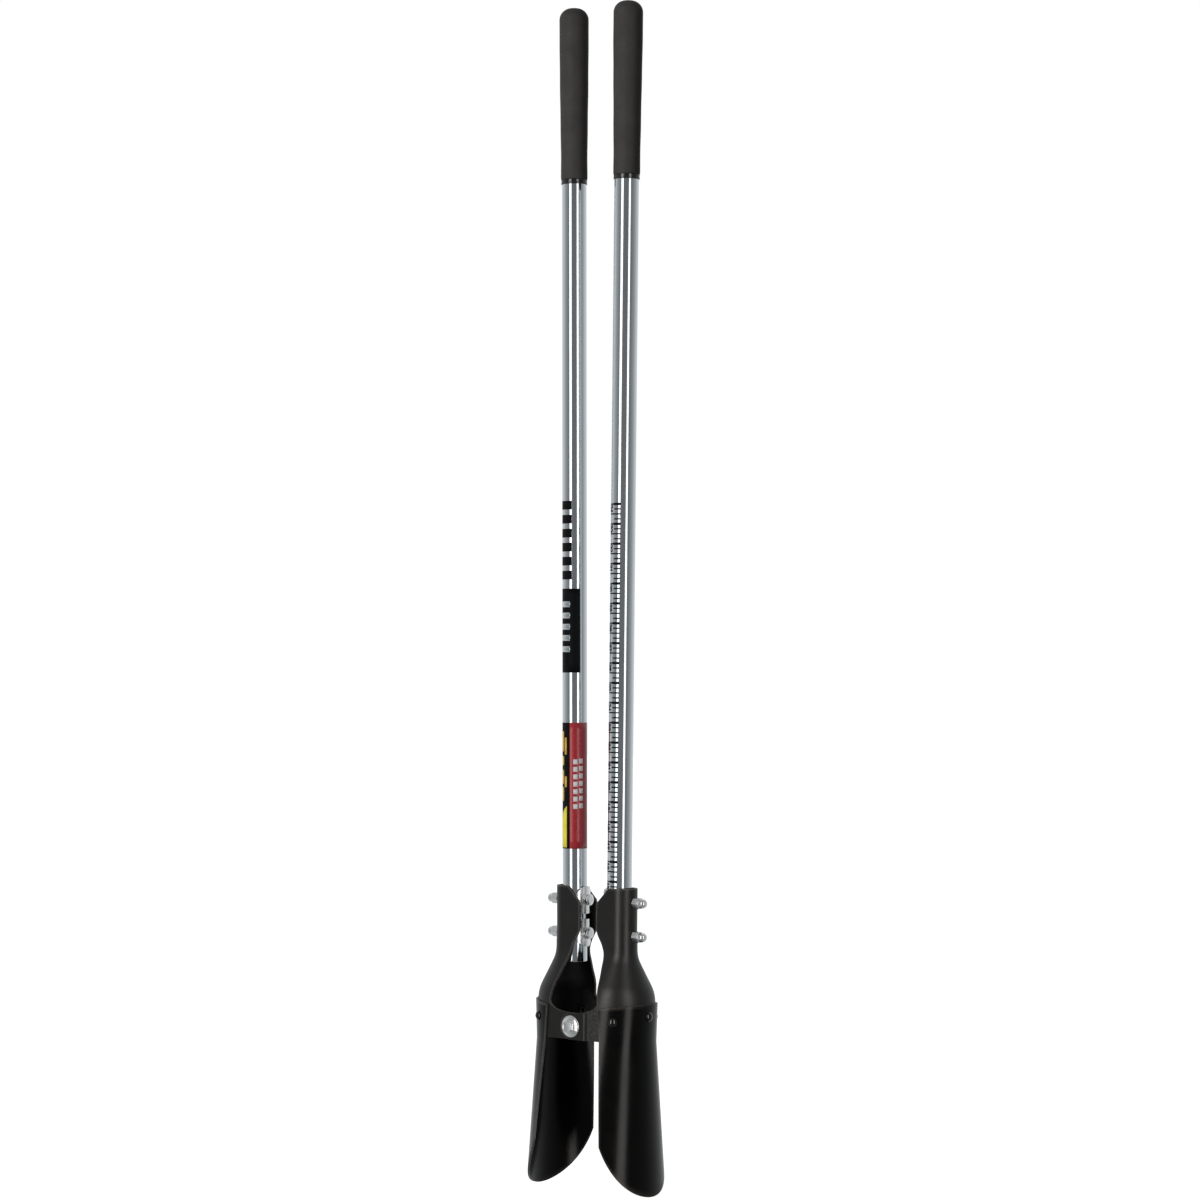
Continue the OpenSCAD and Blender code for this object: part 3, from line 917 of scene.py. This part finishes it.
def hex_solid(flat, height, bore, low_cone=True, high_cone=True):
    """Hexagon with chamfered corners and a hole through it."""
    r = flat / 2
    wall = [(r, height * i / 24) for i in range(25)]
    line = [(bore, 0.0), (bore + 0.4, 0.0), (r * 0.97, 0.0)] + wall
    line += [(r * 0.97, height), (bore + 0.6, height), (bore, height - 0.5)]
    return lathe(line, 72, closed=True, radius=hex_radius(flat, low_cone, high_cone, height))


def make_clamp_nut(side, name, height):
    """Hexagon nut with a closed dome over the bolt's tip."""
    h, bore = CLAMP_NUT_H, CLAMP_R + 0.02
    dome_r, top = CLAMP_DOME_R, h + CLAMP_DOME_H
    cap = [(bore, h - 0.5), (dome_r, h - 0.5), (dome_r, h + 0.4)]
    cap += arc((0.6, top - dome_r + 0.6), dome_r - 0.6, 0, 90, 14)
    cap += [(0, top), (0, top - CLAMP_CAP), (bore, top - CLAMP_CAP)]
    verts, faces = join([hex_solid(CLAMP_NUT_AF, h, bore), lathe(cap, 72, closed=True)])
    place = on_tube(side) @ Matrix.Translation((SOCKET_OUTER_X * MM, 0, height * MM))
    place = place @ Matrix.Rotation(math.pi / 2, 4, "Y")
    return make_object(name, verts, faces, side + "_half", BRIGHT_ZINC, place)


def make_clamps(side):
    """The two saddles on a tube, each with its bolt and nut."""
    for level, height, up in (("lower", CLAMP_HEIGHTS[0], -1), ("upper", CLAMP_HEIGHTS[1], 1)):
        stem = side + "_" + level
        saddle = make_saddle(side, stem + "_clamp_plate", height, up)
        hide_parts(stem + "_saddle")
        bolt = make_clamp_bolt(side, stem + "_clamp_bolt", height)
        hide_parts(stem + "_bolt")
        nut = make_clamp_nut(side, stem + "_clamp_nut", height)
        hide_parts(stem + "_nut")


# ---- pivot, rivets
WASHER_R = 14.0
WASHER_BASE = 53.5
WASHER_T = 2.6
HEAD_H = 5.6
PIVOT_AF = 14.3
PIVOT_NUT_TOP = 46.5
PIVOT_NUT_H = 8.0
PIVOT_TAIL = 2.5


def on_pivot(end):
    """Frame along the pivot, outwards at the named end of the tool."""
    turn = 0.0 if end == "front" else math.pi
    out = Matrix.Rotation(turn, 4, "Z") @ Matrix.Translation((0, 0, PIVOT_Z * MM))
    return out @ Matrix.Rotation(math.pi / 2, 4, "X")


def make_pivot(end):
    """Pivot bolt at one end, with its dished washer and inner nut."""
    place = on_pivot(end)
    base, top = WASHER_BASE, WASHER_BASE + WASHER_T
    r = PIVOT_AF / 2
    dish = [
        (PIVOT_R, base), (WASHER_R - 0.2, base), (WASHER_R, base + 0.5), (WASHER_R - 0.4, base + 1.1),
        (WASHER_R - 2.0, base + 1.25), (WASHER_R - 3.6, base + 2.0), (r + 1.2, top), (PIVOT_R, top),
    ]
    verts, faces = lathe(rounded(dish, 0.7, 4), 96, closed=True)
    obj = make_object(end + "_dished_washer", verts, faces, "left_half", BRIGHT_ZINC, place)
    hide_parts(end + "_pivot_washer")

    nut_end = PIVOT_NUT_TOP - PIVOT_NUT_H
    tail = nut_end - PIVOT_TAIL
    wall = [(r, top + HEAD_H * i / 24) for i in range(25)]
    line = [(0, tail), (PIVOT_R - 1.2, tail), (PIVOT_R - 0.1, tail + 1.1)]
    line += threaded(tail + 1.2, nut_end + 0.3, PIVOT_R)
    line += [(PIVOT_R - 0.02, PIVOT_NUT_TOP), (PIVOT_R - 0.02, top), (r * 0.97, top)] + wall
    head = top + HEAD_H
    line += [(r * 0.93, head), (r * 0.86, head), (r * 0.8, head - 0.25), (0, head - 0.3)]
    corners = hex_radius(PIVOT_AF, False, True, head)
    thread = thread_radius(PIVOT_R)

    def shape(radius, h, a):
        return corners(radius, h, a) if h > top - 0.1 else thread(radius, h, a)

    verts, faces = lathe(line, 72, radius=shape)
    obj = make_object(end + "_hinge_bolt", verts, faces, "left_half", BRIGHT_ZINC, place)
    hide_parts(end + "_pivot_bolt")

    verts, faces = hex_solid(PIVOT_AF, PIVOT_NUT_H, PIVOT_R + 0.02)
    inside = place @ Matrix.Translation((0, 0, nut_end * MM))
    obj = make_object(end + "_hinge_nut", verts, faces, "left_half", BRIGHT_ZINC, inside)
    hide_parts(end + "_pivot_nut")


RIVET_R = 3.0
RIVET_TAIL_R = 4.1
RIVET_TAIL = (-7.6, -6.35)
RIVET_SEAT = 0.25
RIVET_TOP = 3.8
RIVET_BALL = 7.6
RIVET_ANGLE = math.radians(58)
# Share of the angle and height above the pivot of each rivet
RIVET_PLACES = ((-1, 8.6), (0, 13.6), (1, 8.6))


def make_rivets(side):
    """Three domed rivets with flattened inside heads, as one piece."""
    end, tail = RIVET_TAIL
    line = [
        (0, end), (3.6, end), (4.05, end + 0.4), (RIVET_TAIL_R, end + 0.9), (RIVET_TAIL_R, tail),
        (RIVET_R, tail), (RIVET_R, RIVET_SEAT), (6.2, RIVET_SEAT),
    ]
    line += arc((0, RIVET_TOP - RIVET_BALL), RIVET_BALL, 33.0, 90, 12)[:-1] + [(0, RIVET_TOP)]
    parts = []
    for share, z in RIVET_PLACES:
        h = z - BLADE_AXIS[1]
        place = Matrix.Translation((BLADE_AXIS[0] + h * math.tan(BLADE_LEAN), 0, PIVOT_Z + z))
        place = place @ Matrix.Rotation(share * RIVET_ANGLE, 4, "Z")
        place = place @ Matrix.Translation((blade_radius(h), 0, 0)) @ Matrix.Rotation(math.pi / 2, 4, "Y")
        points, quads = lathe(line, 40)
        parts.append(([place @ Vector(p) for p in points], quads))
    verts, faces = join(parts)
    body = side + "_half"
    obj = make_object(side + "_rivet_set", verts, faces, body, RIVET_PAINT, half(side))
    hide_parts(side + "_rivets")


# ---- prints
INK_LIFT = 0.05
FILM_LIFT = 0.12
MARK_LIFT = FILM_LIFT + 0.04


def patch(angle1, angle2, h1, h2, lift, top_slant=0.0):
    """Thin curved panel round a tube between two angles (degrees) and
    two heights above the pivot; top_slant raises its far top corner."""
    columns = max(2, int(abs(angle2 - angle1) / 3))
    rows = max(1, int((h2 - h1) / 12))
    verts = []
    r = TUBE_R + lift
    for i in range(rows + 1):
        for j in range(columns + 1):
            share = j / columns
            a = math.radians(mix(angle1, angle2, share))
            h = mix(h1, h2 + top_slant * share, i / rows)
            verts.append((r * math.cos(a), r * math.sin(a), h))
    return verts, grid_faces(rows + 1, columns + 1)


def stroke(points, width, lift):
    """Line of ink along (angle in mm round the tube, height) points."""
    parts = []
    r = TUBE_R + lift
    for (u1, h1), (u2, h2) in zip(points, points[1:]):
        length = math.dist((u1, h1), (u2, h2))
        along = Vector(((u2 - u1) / length, (h2 - h1) / length))
        across = Vector((-along.y, along.x)) * width / 2
        steps = max(2, int(length / 0.7))
        verts = []
        for i in range(steps + 1):
            share = mix(-0.5 * width / length, 1 + 0.5 * width / length, i / steps)
            p = Vector((mix(u1, u2, share), mix(h1, h2, share)))
            for q in (p - across, p + across):
                a = q.x / TUBE_R
                verts.append((r * math.cos(a), r * math.sin(a), q.y))
        parts.append((verts, grid_faces(steps + 1, 2)))
    return join(parts)


def film_piece(name, side, parts, material, lift):
    """Joins panels into one thin solid film on a tube."""
    obj = new_object(name, *join(parts), on_tube(side))
    obj.data.materials.append(material)
    obj.data.shade_smooth()
    modify(obj, "SOLIDIFY", thickness=lift * 0.8 * MM, offset=-1)
    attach(obj, side + "_half")


# Strokes of each digit, in a box 2 wide and 4 high
DIGITS = {
    "0": [[(0, 1), (0, 3), (0.5, 4), (1.5, 4), (2, 3), (2, 1), (1.5, 0), (0.5, 0), (0, 1)]],
    "1": [[(0.4, 3.2), (1.1, 4), (1.1, 0)]],
    "2": [[(0, 3.2), (0.5, 4), (1.5, 4), (2, 3.2), (2, 2.5), (0, 0), (2, 0)]],
    "3": [[(0, 3.5), (0.6, 4), (1.5, 4), (2, 3.4), (2, 2.7), (1.4, 2.1),
           (2, 1.5), (2, 0.7), (1.5, 0), (0.5, 0), (0, 0.6)]],
    "4": [[(1.5, 0), (1.5, 4), (0, 1.3), (2, 1.3)]],
    "5": [[(1.9, 4), (0.2, 4), (0, 2.2), (1.4, 2.4), (2, 1.7), (2, 0.8), (1.4, 0), (0.5, 0), (0, 0.5)]],
    "6": [[(1.8, 3.6), (1.2, 4), (0.6, 4), (0, 3), (0, 0.8), (0.6, 0),
           (1.4, 0), (2, 0.8), (2, 1.6), (1.4, 2.3), (0.6, 2.3), (0, 1.6)]],
    "7": [[(0, 4), (2, 4), (0.8, 0)]],
    "8": [[(1, 2.1), (0.2, 2.7), (0.2, 3.5), (0.7, 4), (1.3, 4), (1.8, 3.5), (1.8, 2.7), (1, 2.1),
           (0, 1.3), (0, 0.6), (0.6, 0), (1.4, 0), (2, 0.6), (2, 1.3), (1, 2.1)]],
    "9": [[(0.2, 0.4), (0.8, 0), (1.4, 0), (2, 1), (2, 3.2), (1.4, 4),
           (0.6, 4), (0, 3.2), (0, 2.4), (0.6, 1.7), (1.4, 1.7), (2, 2.4)]],
}

INCH = 25.4
TICK_TOP = 880.4 - PIVOT_Z
TICK_RIGHT = -64.0
TICK_BOLD_LEFT = -103.0
TICK_LEFT = -133.0
TICK_QUARTER_LEFT = -99.0
TICK_BOLD = 1.6
TICK_FINE = 0.9
NUMERAL_LEFT = -137.0
NUMERAL_STROKE = 1.7
NUMERAL_H = 7.0
NUMERAL_PITCH = 4.9
FIRST_NUMBER = 34

# Prints on the left tube: angles in degrees, heights above the ground
BLOCK_ANGLES = (-142, -65)
BLOCK_LOW, BLOCK_TOP, BLOCK_COUNT = 777.5, 886.0, 6
BLOCK_SHARE = 0.62
BAND = (-158, -25, 664, 772.5)
BAR_ANGLES = (-134, -74)
BAR_TOP, BAR_PITCH, BAR_H, BAR_COUNT = 756, 14.5, 7.5, 5
LABEL_LOW, LABEL_TOP = 436.7, 599.3
DARK_ANGLES = (-236, -76)
RED_ANGLES = (-76, 118)
AMBER_HEIGHTS = ((588, 562), (556, 544), (538, 520), (516, 498))


def round_tube(degrees):
    """Distance round the tube, in millimetres, at an angle."""
    return math.radians(degrees) * TUBE_R


def numeral(text, left, top, height, spacing):
    """Sideways digits: they read down the tube, with their tops outwards."""
    parts = []
    size = height / 4
    for k, digit in enumerate(text):
        for line in DIGITS[digit]:
            points = [(left + size * y, top - size * x - k * spacing) for x, y in line]
            parts.append(stroke(points, NUMERAL_STROKE, INK_LIFT))
    return parts


def tick(left, right, level, half_width):
    """Mark of the rule between two angles at a height above the pivot."""
    return patch(left, right, level - half_width, level + half_width, INK_LIFT)


def make_ruler():
    """Inch rule with numbers on the front of the right tube."""
    parts = []
    bottom = TUBE_START + 4
    count = int((TICK_TOP - bottom) / INCH)
    for k in range(count + 1):
        level = TICK_TOP - k * INCH
        parts.append(tick(TICK_BOLD_LEFT, TICK_RIGHT, level, TICK_BOLD))
        parts.append(tick(TICK_LEFT, TICK_BOLD_LEFT, level, TICK_FINE))
        for quarter, left in ((1, TICK_QUARTER_LEFT), (2, TICK_LEFT), (3, TICK_QUARTER_LEFT)):
            low = level - quarter * INCH / 4
            if low > bottom:
                parts.append(tick(left, TICK_RIGHT, low, TICK_FINE))
        number = FIRST_NUMBER - k
        if level - INCH / 2 > bottom and number > 0:
            top = level - TICK_BOLD
            parts += numeral(str(number), round_tube(NUMERAL_LEFT), top, NUMERAL_H, NUMERAL_PITCH)
    film_piece("ruler", "right", parts, INK, INK_LIFT)


def make_tube_prints():
    """Plain blocks, band and label in place of the printing on the left tube.

    The left tube's own frame is turned half way round, so angles here
    have 180 degrees added to them."""
    turn = 180.0

    def panel(a1, a2, z1, z2, lift, slant=0.0):
        return patch(a1 + turn, a2 + turn, z1 - PIVOT_Z, z2 - PIVOT_Z, lift, slant)

    blocks = []
    pitch = (BLOCK_TOP - BLOCK_LOW) / BLOCK_COUNT
    for k in range(BLOCK_COUNT):
        high = BLOCK_TOP - k * pitch
        blocks.append(panel(*BLOCK_ANGLES, high - pitch * BLOCK_SHARE, high, INK_LIFT))
    film_piece("tube_blocks", "left", blocks, INK, INK_LIFT)
    film_piece("tube_band", "left", [panel(*BAND, INK_LIFT)], INK, INK_LIFT)
    bars = []
    for k in range(BAR_COUNT):
        high = BAR_TOP - k * BAR_PITCH
        bars.append(panel(*BAR_ANGLES, high - BAR_H, high, 2 * INK_LIFT))
    film_piece("band_bars", "left", bars, TUBE_BAR, 2 * INK_LIFT)

    for name, angles, film in (("dark", DARK_ANGLES, INK), ("red", RED_ANGLES, RED_FILM)):
        sheet = panel(*angles, LABEL_LOW, LABEL_TOP, FILM_LIFT)
        film_piece("label_" + name, "left", [sheet], film, FILM_LIFT)
    marks = []
    for k, (z1, z2) in enumerate(AMBER_HEIGHTS):
        marks.append(panel(-136, -112, z2, z1, MARK_LIFT))
        if k in (0, 2):
            marks.append(panel(-106, -92, z2 - 4, z1 - 8, MARK_LIFT))
    film_piece("label_marks", "left", marks, AMBER_FILM, MARK_LIFT)
    tab = panel(-128, -92, LABEL_LOW + 1.5, 482, MARK_LIFT, 10.0)
    film_piece("label_tab", "left", [tab], YELLOW_FILM, MARK_LIFT)
    lines = []
    for k in range(7):
        z = 552 - k * 9.6
        lines.append(panel(-58, -38, z - 6.4, z, MARK_LIFT))
        lines.append(panel(-31, -11, z - 5.4, z + 1, MARK_LIFT))
    film_piece("label_bars", "left", lines, WHITE_FILM, MARK_LIFT)


# ---- whole object
for side_name in SIDES:
    make_frame(side_name)
    make_blade(side_name)
    make_tube(side_name)
    make_grip(side_name)
    make_collar(side_name)
    make_clamps(side_name)
    make_rivets(side_name)
for end_name in ("front", "rear"):
    make_pivot(end_name)
make_ruler()
make_tube_prints()


# ---- the studio
CAMERA_AZIMUTH = math.radians(38.15)
CAMERA_DISTANCE = 4.158
CAMERA_HEIGHT = 0.725
CAMERA_PITCH = math.radians(0.44)
CAMERA_ROLL = math.radians(0.26)
CAMERA_LENS = 96.8
CAMERA_SHIFT = 0.00135
CAMERA_LIFT = 0.0006
FLOOR_LEVEL = -2.0
STRIP_DISTANCE = 2.6
STRIP_HEIGHT = 3.6
STRIP_MIDDLE = 0.9
# Azimuth in degrees, from the camera's own, and width of each soft box
LEFT_STRIP = (-37.5, 0.95)
RIGHT_STRIP = (31.5, 0.74)
# How the names of the plated and printed pieces end, then of the black ones
PLATED_ENDS = (
    "_pipe", "_clamp_plate", "_clamp_bolt", "_clamp_nut", "_dished_washer", "_hinge_bolt", "_hinge_nut",
    "ruler", "_blocks", "_band", "_bars", "_dark", "_red", "_marks", "_tab",
)
BLACK_ENDS = ("_shell", "_scoop", "_rivet_set", "_handgrip", "_ring")


def make_camera():
    """Long lens near the middle of the tool's height."""
    data = bpy.data.cameras.new("camera")
    camera = bpy.data.objects.new("camera", data)
    bpy.context.scene.collection.objects.link(camera)
    bpy.context.scene.camera = camera
    data.sensor_width = 36.0
    data.lens = CAMERA_LENS
    data.shift_x = CAMERA_SHIFT
    data.shift_y = CAMERA_LIFT
    data.clip_start = 0.05
    data.clip_end = 60.0
    back = Vector((math.sin(CAMERA_AZIMUTH), -math.cos(CAMERA_AZIMUTH), 0))
    camera.location = back * CAMERA_DISTANCE + Vector((0, 0, CAMERA_HEIGHT))
    turn = Matrix.Rotation(CAMERA_AZIMUTH, 4, "Z")
    pitch = Matrix.Rotation(math.pi / 2 + CAMERA_PITCH, 4, "X")
    roll = Matrix.Rotation(CAMERA_ROLL, 4, "Z")
    camera.matrix_world = Matrix.Translation(camera.location) @ turn @ pitch @ roll


def make_floor():
    """Wide pale floor."""
    verts, faces = lathe([(r, FLOOR_LEVEL) for r in (0, 1500, 6000, 14000)], 96)
    floor = new_object("floor", verts, faces, Matrix.Identity(4))
    n = Nodes("floor_paper")
    cloud = n.noise(3, 3, 0.5)
    colour = n.ramp(cloud, [(0.3, (0.40, 0.40, 0.40)), (0.7, (0.44, 0.44, 0.44))])
    floor.visible_glossy = False
    floor.visible_diffuse = False
    white = (1.0, 1.0, 1.0)
    paper = n.set(Base_Color=colour, Roughness=0.9, Emission_Color=white, Emission_Strength=0.95)
    floor.data.materials.append(paper)


def strip_light(name, place, radiance, ends):
    """Tall soft box that lights only the pieces whose names end so."""
    azimuth, width = place
    data = bpy.data.lights.new(name, "AREA")
    data.shape = "RECTANGLE"
    data.size = width
    data.size_y = STRIP_HEIGHT
    data.energy = radiance * math.pi * width * STRIP_HEIGHT
    light = bpy.data.objects.new(name, data)
    bpy.context.scene.collection.objects.link(light)
    a = CAMERA_AZIMUTH + math.radians(azimuth)
    back = Vector((math.sin(a), -math.cos(a), 0))
    light.location = back * STRIP_DISTANCE + Vector((0, 0, STRIP_MIDDLE))
    light.rotation_euler = (-back).to_track_quat("-Z", "Y").to_euler()
    group = bpy.data.collections.new(name + "_pieces")
    for obj in bpy.context.scene.objects:
        if obj.name.endswith(ends):
            group.objects.link(obj)
    light.light_linking.receiver_collection = group
    return light


def make_lights():
    """A dim pair for the plated pieces and a bright one for the black ones.

    The right box of each pair only makes highlights, so the left side is
    the lit one."""
    for kind, ends, left, right in (("soft", PLATED_ENDS, 1.8, 1.7), ("hard", BLACK_ENDS, 6.2, 5.4)):
        strip_light(kind + "_left", LEFT_STRIP, left, ends)
        strip_light(kind + "_right", RIGHT_STRIP, right, ends).visible_diffuse = False


def level_ramp(n, value, stops):
    """Grey ramp, a little blue, over a value between -1 and 1."""
    even = n.range(value, 0.0, 1.0, -1.0, 1.0)
    return n.ramp(even, [(at, (level * 0.965, level, level * 1.02)) for at, level in stops])


# Grey levels of the studio, from the camera's side (0) to the far side (1)
ROOM_DEPTH = [(0.0, 0.17), (0.21, 0.21), (0.40, 0.32), (0.51, 0.39), (0.64, 0.54), (0.77, 0.66), (1.0, 0.78)]
# Soft light from the camera's left (0) to its right (1)
ROOM_SIDE = [(0.0, 0.95), (0.4, 0.55), (0.62, 0.10), (1.0, 0.03)]


def make_world():
    """Room with one grey ramp for highlights and one for soft light.

    Highlights see it grey at the camera's side and bright at the far side,
    soft light sees it bright on the left, and the camera sees it white."""
    world = bpy.data.worlds.new("studio")
    bpy.context.scene.world = world
    # The two ramps differ by kind of ray, so the room isn't sampled as a lamp
    world.cycles.sampling_method = "NONE"
    n = Nodes("studio", world)
    turn = n.add("ShaderNodeMapping")
    turned = n.fill(turn, "Vector", Rotation=(0, 0, -CAMERA_AZIMUTH), Vector=n.place)
    split = n.add("ShaderNodeSeparateXYZ")
    n.link(turned, split.inputs["Vector"])
    depth = level_ramp(n, split.outputs["Y"], ROOM_DEPTH)
    across = level_ramp(n, split.outputs["X"], ROOM_SIDE)
    ray = n.add("ShaderNodeLightPath")
    out = n.mixed("RGBA", ray.outputs["Is Glossy Ray"], across, depth)
    out = n.mixed("RGBA", ray.outputs["Is Camera Ray"], out, (1.0, 1.0, 1.0))
    n.set(Color=out, Strength=1.0)


make_camera()
make_floor()
make_world()
make_lights()
bpy.context.scene.view_settings.view_transform = "Standard"
